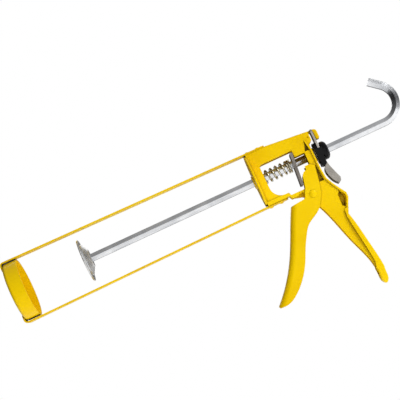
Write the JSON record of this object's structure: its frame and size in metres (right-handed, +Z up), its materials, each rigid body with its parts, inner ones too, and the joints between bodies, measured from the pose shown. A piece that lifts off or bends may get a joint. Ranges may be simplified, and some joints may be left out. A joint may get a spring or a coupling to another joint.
{
  "type": "caulking gun",
  "caption": "Strap-frame caulking gun: a cradle for a sealant cartridge, a hooked hex push rod with a plunger, a squeeze trigger and a thumb release.",
  "frame": {"origin": "on the push rod's axis at the front face of the cup, in the middle of the nozzle hole", "axes": "+X along the rod from the cup towards the hook, +Z up towards the top strap, the trigger hangs towards -Z, +Y to the side"},
  "size_m": [0.3894, 0.055, 0.1732],
  "materials": {
    "yellow_paint": "gloss enamel",
    "zinc_steel": "bright zinc",
    "plain_steel": "grey zinc",
    "spring_steel": "drawn wire",
    "black_nylon": "moulded gloss"
  },
  "bodies": {
    "frame": {"front_cup": "yellow_paint", "top_strap": "yellow_paint", "bottom_strap": "yellow_paint", "top_strap_rivets": "yellow_paint", "bottom_strap_rivets": "yellow_paint", "front_wall": "yellow_paint", "body_shell": "yellow_paint", "trigger_pivot": "yellow_paint", "drive_spring": "spring_steel", "release_spring": "spring_steel"},
    "rod": {"push_rod": "zinc_steel", "plunger_plate": "plain_steel", "plunger_backing": "plain_steel"},
    "trigger": {"trigger": "yellow_paint"},
    "drive_plate": {"drive_plate": "plain_steel"},
    "release": {"release_lever": "zinc_steel", "release_bush": "black_nylon"}
  },
  "joints": [
    {"name": "rod_slide", "type": "slide", "parent": "frame", "child": "rod", "axis": [1, 0, 0], "range_m": [-0.055, 0.158]},
    {"name": "trigger_squeeze", "type": "hinge", "parent": "frame", "child": "trigger", "pos_m": [0.2805, 0, -0.0319], "axis": [0, -1, 0], "range_deg": [0, 25], "stiffness_Nm_per_rad": 0.6, "springref_deg": -17.19},
    {"name": "drive_plate_slide", "type": "slide", "parent": "frame", "child": "drive_plate", "axis": [-1, 0, 0], "range_m": [0, 0.0085], "deforming": ["drive_spring"]},
    {"name": "thumb_release", "type": "hinge", "parent": "frame", "child": "release", "pos_m": [0.3027, 0, 0.0205], "axis": [0, 1, 0], "range_deg": [0, 3], "stiffness_Nm_per_rad": 0.5, "springref_deg": -5.73, "deforming": ["release_spring"]}
  ],
  "couplings": [
    {"joint": "drive_plate_slide", "follows": "trigger_squeeze", "m_per_rad": 0.019}
  ]
}
